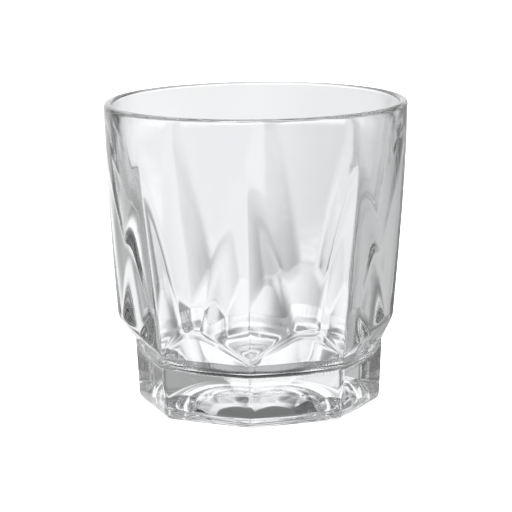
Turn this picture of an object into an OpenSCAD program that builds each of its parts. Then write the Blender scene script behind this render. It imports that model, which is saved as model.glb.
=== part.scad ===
// Double old fashioned glass: a clear pressed tumbler on an octagonal
// foot with a domed hollow. The axis of the glass is Z and it stands on z = 0.
// The glass is one pressing. It is drawn as four zones that meet face to
// face on level planes: foot, shoulder, bowl and rim, from the bottom up.
// Flutes and foot corners lie at 0, 45, 90 ... degrees round the axis.

/* [Overall] */
// Height from the standing plane to the top of the rim
height = 97.5; // [95:0.1:101]
// Outer diameter at the rim
rim_d = 96; // [94:0.5:98]
// Outward lean of the outer wall, in degrees
wall_draft = 2.02; // [1.6:0.02:2.4]

/* [Bowl] */
// Thickness of the wall where it runs out at the rim
lip_t = 2.6; // [2.2:0.1:3.2]
// Height of the bowl's floor above the standing plane
floor_z = 15.2; // [14.5:0.1:16]
// Inner radius that the wall would have at the floor, without its fillet
floor_r = 33.2; // [32:0.1:33.6]
// Fillet between the floor and the wall
floor_fillet = 4; // [1:0.1:4.4]
// Level where the fluted wall of the bowl starts, above the shoulder
bowl_z = 33; // [32:0.5:36]
// Level where the plain band of the rim starts
band_z = 84; // [81.5:0.5:90]

/* [Flutes] */
// Number of flutes, and of sides of the foot
flutes = 8; // [8:1:8]
// Height of the flutes' upper points
flute_top = 80; // [76:0.1:81]
// Depth that a flute gains per millimetre below its point
flute_fall = 0.091; // [0.07:0.001:0.1]
// Rise of each flank of a flute per millimetre from its valley
flank_rise = 0.163; // [0.12:0.001:0.18]

/* [Shoulder] */
// Inset of each sloping shoulder face at its foot, from the foot's side
shoulder_step = 0.15; // [0.1:0.05:0.6]
// Outward run of a shoulder face per millimetre of height
shoulder_run = 0.883; // [0.8:0.01:1]

/* [Foot] */
// Height of the foot's top edge
foot_h = 20.3; // [19.8:0.1:21.4]
// Distance between two opposite sides of the foot at its top
foot_af = 73.5; // [72.5:0.1:74]
// Outward lean of the foot's sides, in degrees
foot_draft = 2.6; // [1.5:0.1:3.5]
// Rounding of the foot's lower edge
foot_round = 3; // [1.2:0.1:3.6]
// Radius of the hollow under the foot at its mouth
hollow_r_mouth = 26.8; // [26.5:0.1:27.5]
// Radius of the hollow where its dome starts
hollow_r_top = 26.4; // [25.5:0.1:26.5]
// Height where the hollow's dome starts
hollow_h = 2; // [1.6:0.1:2.6]
// Rise of the dome
dome_h = 8.2; // [7:0.1:9]
// Flatness of the dome: 2 is a parabola, more is flatter on top
dome_p = 2.5; // [1.8:0.1:4]
// Rounding of the hollow's mouth
mouth_round = 1.4; // [0.6:0.1:1.5]

/* [Hidden] */
$fn = 128;
step_a = 360 / flutes;
half_a = step_a / 2;
rim_r = rim_d / 2;
out_s = tan(wall_draft);
in_s = (rim_r - lip_t - floor_r) / (height - floor_z);
in_a = atan(in_s);
foot_ap = foot_af / 2;
foot_s = tan(foot_draft);
foot_ap0 = foot_ap - foot_s * foot_h;
floor_top = floor_z + floor_fillet;
lip_r = lip_t / (1 / cos(wall_draft) + 1 / cos(in_a) - in_s + out_s);
lip_z = height - lip_r;
lip_c = wall_r(lip_z) - lip_r / cos(wall_draft);
valley_a = atan(out_s + flute_fall);
flank = flank_rise * cos(valley_a);
shoulder_a = atan(shoulder_run);
big = 60;

// Radius of the outer wall at height z
function wall_r(z) = rim_r - out_s * (height - z);
// Radius of the inner wall at height z
function cavity_r(z) = floor_r + in_s * (z - floor_z);
// Height of the dome's surface at radius r
function dome_z(r) = hollow_h + dome_h * (1 - pow(r / hollow_r_top, dome_p));
// Points of an arc about c, from angle a to angle b
function arc(c, r, a, b, n) =
    [for (i = [0 : n]) let (w = a + (b - a) * i / n) [c[0] + r * cos(w), c[1] + r * sin(w)]];

// One copy at each flute
module at_flutes() {
    for (i = [0 : flutes - 1]) rotate([0, 0, i * step_a]) children();
}

// One copy at each side of the foot, half way between two flutes
module at_sides() {
    for (i = [0 : flutes - 1]) rotate([0, 0, half_a + i * step_a]) children();
}

// The conical outer form between two levels
module wall_blank(z0, z1) {
    translate([0, 0, z0]) cylinder(h = z1 - z0, r1 = wall_r(z0), r2 = wall_r(z1));
}

// The wedge that a flute takes out of the wall: its edge is the valley,
// which starts on the wall at flute_top and runs down and inwards
module flute_wedge() {
    translate([wall_r(flute_top), 0, flute_top])
        rotate([0, valley_a, 0])
            translate([0, 0, -70])
                linear_extrude(height = 76)
                    polygon([[0, 0], [6, 6 / flank], [6, -6 / flank]]);
}

// The block that leaves one sloping shoulder face
module shoulder_block() {
    translate([foot_ap - shoulder_step, 0, foot_h])
        rotate([0, shoulder_a, 0])
            translate([0, -big / 2, -2])
                cube([24, big, 40]);
}

// The block that leaves one leaning side of the foot
module side_block() {
    translate([foot_ap, 0, foot_h])
        rotate([0, foot_draft, 0])
            translate([0, -big / 2, -40])
                cube([20, big, 60]);
}

// The strip that rounds the lower edge of one side of the foot
module edge_strip() {
    u = foot_ap0 + foot_s * foot_round - foot_round / cos(foot_draft);
    difference() {
        translate([u, -big / 2, -1])
            cube([12, big, 1 + foot_round * (1 - sin(foot_draft))]);
        translate([u, 0, foot_round])
            rotate([90, 0, 0])
                cylinder(r = foot_round, h = big + 2, center = true);
    }
}

// The space inside the bowl: a cone with a level floor and a fillet
module cavity() {
    // centre of the fillet, tangent to the floor and to the leaning wall
    fr = cavity_r(floor_top) - floor_fillet / cos(in_a);
    rotate_extrude()
        polygon(concat(
            [[0, floor_z]],
            arc([fr, floor_top], floor_fillet, -90, -in_a, 8),
            [[cavity_r(height + 4), height + 4], [0, height + 4]]));
}

// The hollow under the foot: a short straight mouth, then a dome
module hollow() {
    mr = hollow_r_mouth + mouth_round;
    rotate_extrude()
        polygon(concat(
            [[0, -1], [mr, -1]],
            arc([mr, mouth_round], mouth_round, 270, 180, 6),
            [for (i = [0 : 14]) let (r = hollow_r_top * cos(i * 90 / 15)) [r, dome_z(r)]],
            [[0, hollow_h + dome_h]]));
}

// Octagonal foot: the floor of the bowl, hollow from below
module foot() {
    color([0.80, 0.84, 0.86, 0.55])
    difference() {
        cylinder(h = foot_h, r = 44);
        at_sides() side_block();
        at_sides() edge_strip();
        hollow();
        cavity();
    }
}

// Shoulder: the sloping faces over the foot and the ends of the flutes
module shoulder() {
    color([0.86, 0.89, 0.91, 0.5])
    difference() {
        wall_blank(foot_h, bowl_z);
        at_flutes() flute_wedge();
        at_sides() shoulder_block();
        cavity();
    }
}

// Bowl: the fluted wall
module bowl() {
    color([0.90, 0.93, 0.94, 0.4])
    difference() {
        wall_blank(bowl_z, band_z);
        at_flutes() flute_wedge();
        cavity();
    }
}

// Rim: the plain band, run out to a round lip
module rim() {
    color([0.93, 0.95, 0.96, 0.4])
    rotate_extrude()
        polygon(concat(
            [[cavity_r(band_z), band_z], [wall_r(band_z), band_z]],
            arc([lip_c, lip_z], lip_r, -wall_draft, 180 - in_a, 14)));
}

foot();
shoulder();
bowl();
rim();
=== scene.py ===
import math
import bpy
import numpy as np
from mathutils import Matrix, Vector


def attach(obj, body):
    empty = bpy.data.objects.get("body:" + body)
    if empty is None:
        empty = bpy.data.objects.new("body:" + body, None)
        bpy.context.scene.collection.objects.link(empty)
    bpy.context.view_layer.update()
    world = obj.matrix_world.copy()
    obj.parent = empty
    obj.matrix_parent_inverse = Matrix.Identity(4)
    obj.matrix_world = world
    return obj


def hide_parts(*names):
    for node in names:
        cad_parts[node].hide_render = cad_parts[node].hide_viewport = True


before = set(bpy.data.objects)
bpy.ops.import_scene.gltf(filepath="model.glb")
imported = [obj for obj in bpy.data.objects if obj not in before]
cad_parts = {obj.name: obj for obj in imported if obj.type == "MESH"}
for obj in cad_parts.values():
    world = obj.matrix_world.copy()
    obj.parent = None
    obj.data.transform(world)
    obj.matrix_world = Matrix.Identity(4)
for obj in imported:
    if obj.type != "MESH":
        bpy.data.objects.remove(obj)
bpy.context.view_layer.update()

scene = bpy.context.scene

# ---------------------------------------------------------------- camera
# Stands in front of a flute and a corner of the foot, a little to the right,
# and looks slightly down. The long lens keeps the perspective mild.
FOCAL_PX = 2566.5
AIM = Vector((0.0, 0.0, 0.05252))
DIST = 0.8169
ELEV = math.radians(10.50)
AZIM = math.radians(3.946)
ROLL = -0.0123
CENTRE_PX = (257.20, 239.74)


def make_camera():
    back = Vector((math.cos(ELEV) * math.sin(AZIM), -math.cos(ELEV) * math.cos(AZIM), math.sin(ELEV)))
    fw = -back
    rt = Vector((math.cos(AZIM), math.sin(AZIM), 0.0))
    up = rt.cross(fw)
    c, s = math.cos(ROLL), math.sin(ROLL)
    rt, up = rt * c + up * s, up * c - rt * s
    # turn the camera instead of shifting it, so the axis of view meets the middle of the frame
    fw = (fw + rt * ((256.0 - CENTRE_PX[0]) / FOCAL_PX) - up * ((256.0 - CENTRE_PX[1]) / FOCAL_PX)).normalized()
    rt = (rt - fw * rt.dot(fw)).normalized()
    up = rt.cross(fw)
    data = bpy.data.cameras.new("camera")
    data.sensor_fit = "HORIZONTAL"
    data.sensor_width = 36.0
    data.lens = FOCAL_PX * 36.0 / 512.0
    data.clip_start, data.clip_end = 0.01, 50.0
    cam = bpy.data.objects.new("camera", data)
    m = Matrix.Identity(4)
    for i in range(3):
        m[i][0], m[i][1], m[i][2] = rt[i], up[i], -fw[i]
        m[i][3] = (AIM + back * DIST)[i]
    cam.matrix_world = m
    scene.collection.objects.link(cam)
    scene.camera = cam


make_camera()

# ----------------------------------------------------------------- shape
# The same driving sizes as the solids, in millimetres and degrees.
HEIGHT, RIM_R, WALL_DRAFT = 97.5, 48.0, 2.02
LIP_T, FLOOR_Z, FLOOR_R, FLOOR_FILLET, FLOOR_DISH = 2.6, 15.2, 33.2, 4.0, 0.0
WALL_BOW = 0.0
FLUTES, FLUTE_TOP, FLUTE_FALL, FLANK_RISE = 8, 80.0, 0.091, 0.163
SHOULDER_STEP, SHOULDER_RUN = 0.15, 0.883
FOOT_H, FOOT_AP, FOOT_DRAFT, FOOT_ROUND = 20.3, 36.75, 2.6, 3.0
HOLLOW_R0, HOLLOW_R1, HOLLOW_H, HOLLOW_DOME, DOME_P = 26.8, 26.4, 2.0, 8.2, 2.5
MOUTH_ROUND, CEILING_FILLET = 1.4, 0.6
# fire-polished roundings, only on this mesh
EDGE_K, VALLEY_K, RIDGE_K, CORNER_K = 0.7, 0.5, 1.6, 1.0
SHOULDER_K = 1.4
LEDGE_IN, LEDGE_OUT = 0.01, 0.09
# strength of the fine upright lines in the glass above the bowl's floor
DRAG = 0.10

OUT_S = math.tan(math.radians(WALL_DRAFT))
FOOT_S = math.tan(math.radians(FOOT_DRAFT))
HALF = math.pi / FLUTES
COLS_HALF = 30
COLS = COLS_HALF * 2 * FLUTES


def wall_r(z):
    return RIM_R - OUT_S * (HEIGHT - z)


def cavity_r(z):
    u = (z - FLOOR_Z) / (HEIGHT - FLOOR_Z)
    return FLOOR_R + (RIM_R - LIP_T - FLOOR_R) * u + 4.0 * WALL_BOW * u * (1.0 - u)


def cavity_slope(z):
    u = (z - FLOOR_Z) / (HEIGHT - FLOOR_Z)
    return (RIM_R - LIP_T - FLOOR_R + 4.0 * WALL_BOW * (1.0 - 2.0 * u)) / (HEIGHT - FLOOR_Z)


def smooth_max(a, b, k):
    h = np.maximum(k - np.abs(a - b), 0.0)
    return np.maximum(a, b) + h * h / (4.0 * k)


def smooth_abs(a, k):
    return smooth_max(a, -a, k)


def smoothstep(a, b, x):
    t = np.clip((x - a) / (b - a), 0.0, 1.0)
    return t * t * (3.0 - 2.0 * t)


def octagon(r, d, ap, k):
    """Signed distance from the two nearest sides of an octagon, its corner at d = 0."""
    return smooth_max(r * np.cos(HALF - d) - ap, r * np.cos(HALF + d) - ap, k)


def outer_field(r, d, z):
    """Below zero inside the outer form; d is the angle from the nearest flute."""
    cone = (r - wall_r(z)) * math.cos(math.radians(WALL_DRAFT))
    rv = wall_r(z) - FLUTE_FALL * (FLUTE_TOP - z)
    n = math.sqrt(1.0 + FLANK_RISE ** 2 + (OUT_S + FLUTE_FALL) ** 2)
    x, y = r * np.cos(d), r * np.sin(d)
    flute = (x - rv - FLANK_RISE * smooth_abs(y, VALLEY_K * 2.0)) / n
    ap = FOOT_AP - SHOULDER_STEP + SHOULDER_RUN * (z - FOOT_H)
    shoulder = octagon(r, d, ap, RIDGE_K) / math.hypot(1.0, SHOULDER_RUN)
    return smooth_max(smooth_max(cone, flute, EDGE_K), shoulder, SHOULDER_K)


def solve_r(field, lo, hi):
    lo, hi = lo.copy(), hi.copy()
    for _ in range(44):
        mid = 0.5 * (lo + hi)
        out = field(mid) > 0.0
        hi = np.where(out, mid, hi)
        lo = np.where(out, lo, mid)
    return 0.5 * (lo + hi)


def crease_angle(z):
    """Angle from the valley to the edge that the columns follow at height z."""
    d = np.linspace(0.0, HALF, 1201)
    rv = wall_r(z) - FLUTE_FALL * (FLUTE_TOP - z)
    flank = rv / (np.cos(d) - FLANK_RISE * np.sin(d))
    ap = FOOT_AP - SHOULDER_STEP + SHOULDER_RUN * (z - FOOT_H)
    other = np.minimum(wall_r(z), ap / np.cos(HALF - d))
    inside = flank < other
    return float(d[inside].max()) if inside.any() else 0.0


def column_angles(crease):
    """Angles of one half sector: dense at the valley and on both sides of the crease."""
    s = np.arange(COLS_HALF + 1) / COLS_HALF
    a = np.clip(s * 2.0, 0.0, 1.0)
    b = np.clip(s * 2.0 - 1.0, 0.0, 1.0)
    ga = a - 0.62 * np.sin(2.0 * math.pi * a) / (2.0 * math.pi)
    gb = 0.42 * b + 0.58 * b * b * (1.5 - 0.5 * b)
    return np.where(s <= 0.5, crease * ga, crease + (HALF - crease) * gb)


def ring_angles(crease):
    h = column_angles(crease)
    one = np.concatenate([h, 2.0 * HALF - h[-2:0:-1]])
    near = np.concatenate([h, h[-2:0:-1]])
    th = np.concatenate([one + 2.0 * HALF * i for i in range(FLUTES)])
    return th, np.tile(near, FLUTES)


ROWS = []


def add_row(th, r, z):
    r = np.broadcast_to(np.asarray(r, float), th.shape)
    z = np.broadcast_to(np.asarray(z, float), th.shape)
    ROWS.append(np.stack([r * np.cos(th), r * np.sin(th), z], axis=1))


PLAIN = HALF * 0.5
LOW = math.radians(3.2)


def build_rows():
    th, _ = ring_angles(PLAIN)
    # floor of the bowl, then its fillet and the inner wall
    def floor_z(r):
        return FLOOR_Z + FLOOR_DISH * (r / 30.0) ** 2

    def floor_fillet(r):
        t = 2.0 * FLOOR_DISH * r / 900.0
        n = math.hypot(1.0, t)
        return r - FLOOR_FILLET * t / n, floor_z(r) + FLOOR_FILLET / n, -math.pi / 2.0 + math.atan(t)

    q0, q1 = 1.0, FLOOR_R + 2.0
    for _ in range(60):
        q = 0.5 * (q0 + q1)
        fr, fz, fa = floor_fillet(q)
        in_a = math.atan(cavity_slope(fz))
        q0, q1 = (q0, q) if fr > cavity_r(fz) - FLOOR_FILLET / math.cos(in_a) else (q, q1)
    for k in (0.10, 0.25, 0.42, 0.60, 0.78, 0.92):
        add_row(th, q * k, floor_z(q * k))
    for w in np.linspace(fa, -in_a, 12):
        add_row(th, fr + FLOOR_FILLET * math.cos(w), fz + FLOOR_FILLET * math.sin(w))
    top_s = cavity_slope(HEIGHT)
    top_a = math.atan(top_s)
    lip_r = LIP_T / (1.0 / math.cos(math.radians(WALL_DRAFT)) + 1.0 / math.cos(top_a) - top_s + OUT_S)
    lip_z = HEIGHT - lip_r
    lip_c = wall_r(lip_z) - lip_r / math.cos(math.radians(WALL_DRAFT))
    z_in0 = fz - FLOOR_FILLET * math.sin(in_a)
    z_in1 = lip_z + lip_r * math.sin(math.pi - top_a)
    for q in np.linspace(0.0, 1.0, 11)[1:-1]:
        z = z_in0 + (z_in1 - z_in0) * q
        add_row(th, cavity_r(z), z)
    # lip
    for w in np.linspace(math.pi - top_a, -math.radians(WALL_DRAFT), 17):
        add_row(th, lip_c + lip_r * math.cos(w), lip_z + lip_r * math.sin(w))
    z_out = lip_z - lip_r * math.sin(math.radians(WALL_DRAFT))
    # outer wall, flutes and shoulder
    levels = list(np.linspace(z_out, 81.5, 8)[1:])
    levels += list(np.linspace(81.5, 74.0, 12)[1:])
    levels += list(np.linspace(74.0, 32.6, 34)[1:])
    levels += list(np.linspace(32.6, 29.0, 17)[1:])
    levels += list(np.linspace(29.0, FOOT_H + 0.25, 27)[1:])
    for z in levels:
        crease = max(crease_angle(z), LOW)
        crease += (PLAIN - crease) * float(smoothstep(80.5, 90.0, z))
        th, near = ring_angles(crease)
        zz = np.full_like(th, z)
        r = solve_r(lambda q: outer_field(q, near, zz), np.full_like(th, 20.0), np.full_like(th, 60.0))
        add_row(th, r, z)
    # ledge over the foot: the shoulder runs out in a small hollow, then the
    # upper edge of the foot turns over
    th, near = ring_angles(LOW)

    def ring_of(ap, z):
        r = solve_r(lambda q: octagon(q, near, ap, CORNER_K), np.full_like(th, 20.0), np.full_like(th, 60.0))
        add_row(th, r, z)

    sa = math.atan2(1.0, SHOULDER_RUN)
    turn = math.pi - sa
    base_ap = FOOT_AP - SHOULDER_STEP
    for q in np.linspace(0.0, 1.0, 6):
        w = math.pi - (math.pi / 2.0 - sa) + turn * q
        cx = base_ap + LEDGE_IN * math.tan(turn / 2.0)
        ring_of(cx + LEDGE_IN * math.cos(w), FOOT_H + LEDGE_IN + LEDGE_IN * math.sin(w))
    for q in np.linspace(0.0, 1.0, 7):
        w = math.pi / 2.0 - (math.pi / 2.0 + math.radians(FOOT_DRAFT)) * q
        t = math.tan((math.pi / 2.0 + math.radians(FOOT_DRAFT)) / 2.0)
        ring_of(FOOT_AP - LEDGE_OUT * t + LEDGE_OUT * math.cos(w), FOOT_H - LEDGE_OUT + LEDGE_OUT * math.sin(w))
    # side of the foot and its rounded lower edge
    ap0 = FOOT_AP - FOOT_S * FOOT_H
    u = ap0 + FOOT_S * FOOT_ROUND - FOOT_ROUND / math.cos(math.radians(FOOT_DRAFT))
    z_side = FOOT_ROUND - FOOT_ROUND * math.sin(math.radians(FOOT_DRAFT))
    for z in np.linspace(FOOT_H - LEDGE_OUT * 1.05, z_side, 9)[1:-1]:
        ring_of(ap0 + FOOT_S * z, z)
    for w in np.linspace(-math.radians(FOOT_DRAFT), -math.pi / 2.0, 9):
        ring_of(u + FOOT_ROUND * math.cos(w), FOOT_ROUND + FOOT_ROUND * math.sin(w))
    # flat standing ring, from the octagon to the round mouth; from here on the
    # columns are evenly spaced
    mr = HOLLOW_R0 + MOUTH_ROUND
    th = np.arange(COLS) * (2.0 * math.pi / COLS)
    near = np.abs((th + HALF) % (2.0 * HALF) - HALF)
    r_oct = solve_r(lambda q: octagon(q, near, u, CORNER_K), np.full_like(th, 20.0), np.full_like(th, 60.0))
    for q in (0.04, 0.16, 0.28, 0.42, 0.60, 0.78, 0.90):
        add_row(th, r_oct + (mr - r_oct) * q, 0.0)
    # hollow under the foot
    for w in np.linspace(1.5 * math.pi, math.pi, 7):
        add_row(th, mr + MOUTH_ROUND * math.cos(w), MOUTH_ROUND + MOUTH_ROUND * math.sin(w))
    def ceiling_z(r):
        return HOLLOW_H + HOLLOW_DOME * (1.0 - (r / HOLLOW_R1) ** DOME_P)

    def ceiling_fillet(r):
        t = -DOME_P * HOLLOW_DOME * r ** (DOME_P - 1.0) / HOLLOW_R1 ** DOME_P
        n = math.hypot(1.0, t)
        return r + CEILING_FILLET * t / n, ceiling_z(r) - CEILING_FILLET / n, math.pi / 2.0 + math.atan(t)

    q0, q1 = 1.0, HOLLOW_R0 + 2.0
    hs = (HOLLOW_R0 - HOLLOW_R1) / HOLLOW_H
    ha = math.atan(hs)
    for _ in range(60):
        q = 0.5 * (q0 + q1)
        cr, cz, ca = ceiling_fillet(q)
        q0, q1 = (q0, q) if cr > HOLLOW_R0 - hs * cz - CEILING_FILLET / math.cos(ha) else (q, q1)
    z_top = cz + CEILING_FILLET * math.sin(ha)
    for k in (0.2, 0.4, 0.6, 0.8):
        z = MOUTH_ROUND + (z_top - MOUTH_ROUND) * k
        add_row(th, HOLLOW_R0 + (cr + CEILING_FILLET * math.cos(ha) - HOLLOW_R0) * k, z)
    for w in np.linspace(ha, ca, 9):
        add_row(th, cr + CEILING_FILLET * math.cos(w), cz + CEILING_FILLET * math.sin(w))
    for k in (0.975, 0.94, 0.90, 0.85, 0.79, 0.72, 0.64, 0.55, 0.45, 0.34, 0.22, 0.10):
        add_row(th, q * k, ceiling_z(q * k))


def build_glass():
    build_rows()
    n = COLS
    verts = [np.array([[0.0, 0.0, FLOOR_Z]])] + ROWS + [np.array([[0.0, 0.0, HOLLOW_H + HOLLOW_DOME]])]
    co = np.concatenate(verts) * 0.001
    faces = []
    j = np.arange(n)
    k = (j + 1) % n
    m = len(ROWS)
    faces += [(0, 1 + int(a), 1 + int(b)) for a, b in zip(j, k)]
    for i in range(m - 1):
        p, q = 1 + i * n, 1 + (i + 1) * n
        faces += [(p + int(a), q + int(a), q + int(b), p + int(b)) for a, b in zip(j, k)]
    last = 1 + (m - 1) * n
    end = 1 + m * n
    faces += [(end, last + int(b), last + int(a)) for a, b in zip(j, k)]
    me = bpy.data.meshes.new("glass_pressing")
    me.from_pydata([tuple(v) for v in co], [], faces)
    me.validate()
    me.update()
    me.shade_smooth()
    ob = bpy.data.objects.new("glass_pressing", me)
    scene.collection.objects.link(ob)
    print("glass mesh:", len(me.vertices), "points", len(me.polygons), "faces", m, "rows")
    return ob


# -------------------------------------------------------------- material
def glass_material():
    mat = bpy.data.materials.new("clear_pressed_glass")
    mat.use_nodes = True
    nt = mat.node_tree
    nodes, links = nt.nodes, nt.links
    nodes.clear()
    out = nodes.new("ShaderNodeOutputMaterial")
    bsdf = nodes.new("ShaderNodeBsdfPrincipled")
    bsdf.inputs["Transmission Weight"].default_value = 1.0
    bsdf.inputs["IOR"].default_value = 1.52
    bsdf.inputs["Roughness"].default_value = 0.045
    links.new(bsdf.outputs["BSDF"], out.inputs["Surface"])
    # slow waves left by the mould and the fire polish
    tex = nodes.new("ShaderNodeTexCoord")
    noise = nodes.new("ShaderNodeTexNoise")
    noise.inputs["Scale"].default_value = 130.0
    noise.inputs["Detail"].default_value = 1.5
    links.new(tex.outputs["Object"], noise.inputs["Vector"])
    # the faint cold cast of the melt, a little uneven
    cast = nodes.new("ShaderNodeValToRGB")
    cast.color_ramp.elements[0].position = 0.35
    cast.color_ramp.elements[0].color = (0.978, 0.987, 1.0, 1.0)
    cast.color_ramp.elements[1].position = 0.65
    cast.color_ramp.elements[1].color = (0.988, 0.994, 1.0, 1.0)
    links.new(noise.outputs["Fac"], cast.inputs["Fac"])
    links.new(cast.outputs["Color"], bsdf.inputs["Base Color"])
    bump = nodes.new("ShaderNodeBump")
    bump.inputs["Strength"].default_value = 0.04
    bump.inputs["Distance"].default_value = 0.001
    links.new(noise.outputs["Fac"], bump.inputs["Height"])
    # fine upright drag lines in the fillet of the bowl's floor
    xyz = nodes.new("ShaderNodeSeparateXYZ")
    links.new(tex.outputs["Object"], xyz.inputs[0])
    turn = math_node(nt, "ARCTAN2", xyz.outputs[0], xyz.outputs[1])
    lines = nodes.new("ShaderNodeTexNoise")
    lines.noise_dimensions = "2D"
    lines.inputs["Scale"].default_value = 1.0
    lines.inputs["Detail"].default_value = 2.0
    at = nodes.new("ShaderNodeCombineXYZ")
    links.new(math_node(nt, "MULTIPLY", turn, 46.0), at.inputs[0])
    links.new(math_node(nt, "MULTIPLY", xyz.outputs[2], 160.0), at.inputs[1])
    links.new(at.outputs[0], lines.inputs["Vector"])
    fade = nodes.new("ShaderNodeMapRange")
    fade.interpolation_type = "SMOOTHSTEP"
    fade.inputs["From Min"].default_value = 0.0225
    fade.inputs["From Max"].default_value = 0.0185
    links.new(xyz.outputs[2], fade.inputs["Value"])
    rise = nodes.new("ShaderNodeMapRange")
    rise.interpolation_type = "SMOOTHSTEP"
    rise.inputs["From Min"].default_value = 0.0150
    rise.inputs["From Max"].default_value = 0.0160
    links.new(xyz.outputs[2], rise.inputs["Value"])
    drag = nodes.new("ShaderNodeBump")
    drag.inputs["Strength"].default_value = DRAG
    drag.inputs["Distance"].default_value = 0.001
    links.new(math_node(nt, "MULTIPLY", lines.outputs[0], math_node(nt, "MULTIPLY", fade.outputs["Result"], rise.outputs["Result"])), drag.inputs["Height"])
    links.new(bump.outputs["Normal"], drag.inputs["Normal"])
    links.new(drag.outputs["Normal"], bsdf.inputs["Normal"])
    return mat


# ----------------------------------------------------------- studio floor
def floor_material():
    mat = bpy.data.materials.new("pale_floor")
    mat.use_nodes = True
    nt = mat.node_tree
    bsdf = nt.nodes["Principled BSDF"]
    bsdf.inputs["Roughness"].default_value = 0.9
    bsdf.inputs["Specular IOR Level"].default_value = 0.0
    tex = nt.nodes.new("ShaderNodeTexCoord")
    noise = nt.nodes.new("ShaderNodeTexNoise")
    noise.inputs["Scale"].default_value = 900.0
    noise.inputs["Detail"].default_value = 3.0
    ramp = nt.nodes.new("ShaderNodeValToRGB")
    ramp.color_ramp.elements[0].color = (0.895, 0.895, 0.895, 1.0)
    ramp.color_ramp.elements[1].color = (0.905, 0.905, 0.905, 1.0)
    nt.links.new(tex.outputs["Object"], noise.inputs["Vector"])
    nt.links.new(noise.outputs["Fac"], ramp.inputs["Fac"])
    nt.links.new(ramp.outputs["Color"], bsdf.inputs["Base Color"])
    return mat


def make_floor():
    me = bpy.data.meshes.new("studio_floor")
    s = 6.0
    me.from_pydata([(-s, -s, 0), (s, -s, 0), (s, s, 0), (-s, s, 0)], [], [(0, 1, 2, 3)])
    me.update()
    ob = bpy.data.objects.new("studio_floor", me)
    ob.location.z = -0.0003
    scene.collection.objects.link(ob)
    ob.data.materials.append(floor_material())
    # the glass shows the lit room in place of the floor's own even white
    ob.visible_transmission = False
    ob.visible_glossy = False


# Brightness of the studio by bearing, in degrees: 0 is behind the glass, plus is to the right.
# A broad white panel stands behind the glass and a little to the left, over a white sweep;
# the sides and the front of the room are dim, with a soft panel on each side.
FLOOR_GLOW = [(-180, 0.50), (-120, 0.40), (-75, 0.30), (-36, 0.28), (-24, 0.32), (-14, 0.72), (-8, 1.00), (-2, 0.82),
              (5, 0.46), (20, 0.44), (48, 0.42), (90, 0.30), (140, 0.40), (180, 0.50)]
SWEEP_GLOW = [(-180, 0.30), (-120, 0.25), (-75, 0.35), (-52, 0.46), (-40, 0.46), (-30, 0.70), (-24, 1.10), (-10, 1.20),
              (1, 1.18), (5, 0.90), (12, 0.60), (18, 0.46), (26, 0.52), (34, 0.58), (50, 0.58), (62, 0.40), (100, 0.24),
              (180, 0.30)]
LOW_GLOW = [(-180, 0.50), (-160, 0.40), (-130, 0.15), (-95, 0.42), (-75, 0.72), (-60, 0.85), (-49, 0.60), (-42, 0.40), (-38, 0.50),
            (-34, 0.86), (-28, 0.98), (-18, 1.03), (-8, 0.99), (-3, 0.92), (4, 0.76), (8, 0.66), (12, 0.56), (18, 0.34),
            (26, 0.24), (34, 0.32), (40, 0.42), (50, 0.42), (62, 0.60), (80, 0.36), (110, 0.20), (140, 0.30), (165, 0.42),
            (180, 0.50)]
NEAR_GLOW = [(-180, 0.50), (-160, 0.40), (-130, 0.15), (-95, 0.42), (-75, 0.72), (-60, 0.80), (-49, 0.42), (-42, 0.20), (-38, 0.32),
             (-34, 0.86), (-28, 0.98), (-18, 1.03), (-8, 0.99), (-3, 0.93), (4, 0.86), (10, 0.76), (14, 0.62), (20, 0.42),
             (26, 0.36), (36, 0.20), (50, 0.36), (62, 0.58), (80, 0.36), (110, 0.30), (140, 0.25), (165, 0.42),
             (180, 0.50)]
MID_GLOW = [(-180, 0.45), (-160, 0.34), (-130, 0.10), (-95, 0.25), (-75, 0.40), (-60, 0.55), (-48, 0.16), (-36, 0.30), (-28, 0.80),
            (-18, 1.14), (-9, 1.10), (-3, 1.00), (2, 0.90), (6, 0.78), (10, 0.62), (17, 0.40), (25, 0.24), (40, 0.20),
            (62, 0.48), (85, 0.40), (108, 0.60), (124, 0.14), (140, 0.08), (165, 0.34),
            (180, 0.45)]
UPPER_GLOW = [(-180, 0.42), (-160, 0.34), (-130, 0.10), (-95, 0.20), (-75, 0.35), (-55, 0.15), (-42, 0.25), (-35, 0.95), (-18, 1.10),
              (-6, 1.14), (4, 1.06), (10, 0.90), (17, 0.48), (25, 0.30), (48, 0.15), (75, 0.22), (110, 0.16),
              (140, 0.10), (165, 0.34), (180, 0.42)]
HIGH_GLOW = [(-180, 0.30), (-120, 0.26), (-75, 0.45), (-50, 0.46), (-34, 0.78), (-20, 0.95), (-8, 0.72), (4, 0.48),
             (16, 0.22), (30, 0.06), (46, 0.10), (60, 0.46), (85, 0.46), (120, 0.50), (150, 0.30), (180, 0.30)]
CEILING_GLOW = [(-180, 0.27), (-90, 0.27), (-62, 0.45), (-42, 1.00), (-15, 1.15), (4, 1.05), (14, 0.70), (24, 0.20),
                (45, 0.10), (62, 0.30), (90, 0.40), (180, 0.27)]
DOWN_GLOW, TOP_GLOW = 0.55, 0.19
# Elevations, in degrees, between which each band gives way to the next
BANDS = [(-58, -48), (-33, -29), (-19.5, -17.5), (-15, -13.6), (-9, -5), (5, 9), (15, 22), (37, 43), (54, 60)]
# Painted light and shade of the floor under the foot, seen only through the glass: an even painted shade under the
# hollow, painted shade that changes with bearing under the ring (darkest in front), and a painted bright band just
# outside it.
UNDER_GLOW, UNDER_R0, UNDER_R1 = 0.46, 0.015, 0.019
EDGE_GLOW, EDGE_R0, EDGE_R1, CARD_R = 1.20, 0.0346, 0.0354, 0.0460
RING_GLOW = [(-180, 0.06), (-135, 0.08), (-100, 0.25), (-70, 0.40), (-35, 0.80), (-12, 1.10), (12, 1.10), (38, 0.35),
             (70, 0.35), (100, 0.25), (135, 0.08), (180, 0.06)]


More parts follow.
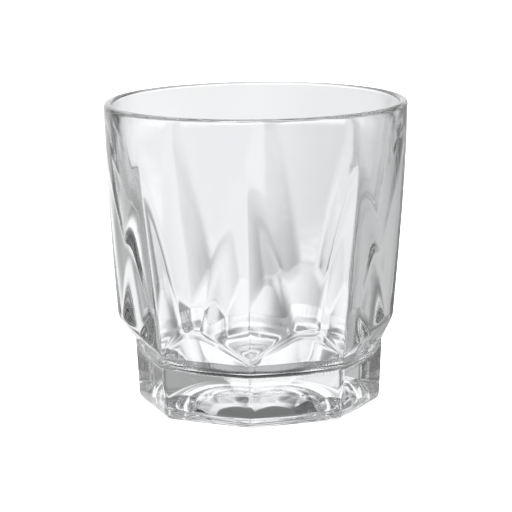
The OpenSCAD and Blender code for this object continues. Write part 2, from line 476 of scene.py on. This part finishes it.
def ramp_node(nt, stops, lo, hi):
    node = nt.nodes.new("ShaderNodeValToRGB")
    el = node.color_ramp.elements
    for i, (x, v) in enumerate(stops):
        e = el[i] if i < 2 else el.new(1.0)
        e.position = (x - lo) / (hi - lo)
        e.color = (v, v, v, 1.0)
    return node


def math_node(nt, op, a, b=None):
    node = nt.nodes.new("ShaderNodeMath")
    node.operation = op
    for i, v in enumerate((a, b)):
        if v is None:
            continue
        if isinstance(v, (int, float)):
            node.inputs[i].default_value = v
        else:
            nt.links.new(v, node.inputs[i])
    return node.outputs[0]


def bearing(nt, x, y):
    return math_node(nt, "ADD", math_node(nt, "DIVIDE", math_node(nt, "ARCTAN2", x, y), 2.0 * math.pi), 0.5)


def mix_by(nt, value, lo, hi, a, b):
    """Colour a below lo, b above hi and a smooth change between."""
    step = nt.nodes.new("ShaderNodeMapRange")
    step.interpolation_type = "SMOOTHSTEP"
    step.inputs["From Min"].default_value = lo
    step.inputs["From Max"].default_value = hi
    nt.links.new(value, step.inputs["Value"])
    mix = nt.nodes.new("ShaderNodeMix")
    mix.data_type = "RGBA"
    nt.links.new(step.outputs["Result"], mix.inputs["Factor"])
    for sock, v in zip([i for i in mix.inputs if i.type == "RGBA"], (a, b)):
        if v is not None:
            nt.links.new(v, sock)
    return [o for o in mix.outputs if o.type == "RGBA"][0]


def make_painted_light_and_shade_card():
    """Painted shadow and light of the floor right under the foot, as the glass shows it."""
    mat = bpy.data.materials.new("painted_light_and_shade_card")
    mat.use_nodes = True
    nt = mat.node_tree
    nt.nodes.clear()
    out = nt.nodes.new("ShaderNodeOutputMaterial")
    glow = nt.nodes.new("ShaderNodeEmission")
    tex = nt.nodes.new("ShaderNodeTexCoord")
    xyz = nt.nodes.new("ShaderNodeSeparateXYZ")
    nt.links.new(tex.outputs["Object"], xyz.inputs[0])
    x, y = xyz.outputs[0], xyz.outputs[1]
    ring = ramp_node(nt, RING_GLOW, -180, 180)
    nt.links.new(bearing(nt, x, y), ring.inputs["Fac"])
    dist = math_node(nt, "SQRT", math_node(nt, "ADD", math_node(nt, "MULTIPLY", x, x), math_node(nt, "MULTIPLY", y, y)))
    tone = mix_by(nt, dist, UNDER_R0, UNDER_R1, None, ring.outputs["Color"])
    [i for i in tone.node.inputs if i.type == "RGBA"][0].default_value = (UNDER_GLOW, UNDER_GLOW, UNDER_GLOW, 1.0)
    tone = mix_by(nt, dist, EDGE_R0, EDGE_R1, tone, None)
    [i for i in tone.node.inputs if i.type == "RGBA"][1].default_value = (EDGE_GLOW, EDGE_GLOW, EDGE_GLOW, 1.0)
    # the emission colour is painted shade under the hollow and the ring, and painted light just outside the foot
    nt.links.new(tone, glow.inputs["Color"])
    nt.links.new(glow.outputs[0], out.inputs["Surface"])
    mat.cycles.emission_sampling = "NONE"
    me = bpy.data.meshes.new("painted_light_and_shade_card")
    n = 96
    vs = [(CARD_R * math.cos(2 * math.pi * i / n), CARD_R * math.sin(2 * math.pi * i / n), 0.0) for i in range(n)]
    me.from_pydata(vs, [], [tuple(range(n))])
    me.update()
    ob = bpy.data.objects.new("painted_light_and_shade_card", me)
    ob.location.z = -0.0002
    scene.collection.objects.link(ob)
    ob.data.materials.append(mat)
    # a glowing disc that is no lamp: hidden from the camera, diffuse rays and shadows, so only the glass shows its
    # painted light and shade
    ob.visible_camera = False
    ob.visible_diffuse = False
    ob.visible_shadow = False


def area(name, loc, aim, size, power, color=(1, 1, 1)):
    data = bpy.data.lights.new(name, "AREA")
    data.shape = "RECTANGLE"
    data.size, data.size_y = size
    data.energy = power
    data.color = color
    ob = bpy.data.objects.new(name, data)
    ob.location = loc
    ob.rotation_mode = "QUATERNION"
    ob.rotation_quaternion = (Vector(aim) - Vector(loc)).to_track_quat("-Z", "Y")
    scene.collection.objects.link(ob)
    return ob


def make_lights():
    # lights the floor from above; the glass itself is lit by the room
    top = area("floor_softbox", (0.0, 0.3, 2.2), (0.0, 0.2, 0.0), (3.0, 3.0), 200.0)
    top.visible_glossy = False
    top.visible_transmission = False
    world = bpy.data.worlds.new("studio")
    scene.world = world
    world.use_nodes = True
    nt = world.node_tree
    bg = nt.nodes["Background"]
    tex = nt.nodes.new("ShaderNodeTexCoord")
    xyz = nt.nodes.new("ShaderNodeSeparateXYZ")
    nt.links.new(tex.outputs["Generated"], xyz.inputs[0])
    turn = bearing(nt, xyz.outputs[0], xyz.outputs[1])
    rise = math_node(nt, "MULTIPLY", math_node(nt, "ARCSINE", xyz.outputs[2]), 180.0 / math.pi)
    tone = None
    for (lo, hi), stops in zip(BANDS, (FLOOR_GLOW, SWEEP_GLOW, LOW_GLOW, NEAR_GLOW, MID_GLOW, UPPER_GLOW, HIGH_GLOW,
                                      CEILING_GLOW, None)):
        above = None
        if stops:
            above = ramp_node(nt, stops, -180, 180)
            nt.links.new(turn, above.inputs["Fac"])
            above = above.outputs["Color"]
        below, tone = tone, mix_by(nt, rise, lo, hi, tone, above)
        sockets = [i for i in tone.node.inputs if i.type == "RGBA"]
        if below is None:
            sockets[0].default_value = (DOWN_GLOW, DOWN_GLOW, DOWN_GLOW, 1.0)
        if above is None:
            sockets[1].default_value = (TOP_GLOW, TOP_GLOW, TOP_GLOW, 1.0)
    nt.links.new(tone, bg.inputs["Color"])


glass = build_glass()
glass.data.materials.append(glass_material())
# clear glass lets the light through to the floor
glass.visible_shadow = False
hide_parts("foot", "shoulder", "bowl", "rim")
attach(glass, "root")
make_floor()
make_painted_light_and_shade_card()
make_lights()

scene.view_settings.view_transform = "Standard"
scene.cycles.use_denoising = True
scene.cycles.max_bounces = 28
scene.cycles.transmission_bounces = 32
scene.cycles.glossy_bounces = 16
scene.cycles.diffuse_bounces = 4
scene.cycles.blur_glossy = 0.0
scene.cycles.sample_clamp_indirect = 10.0
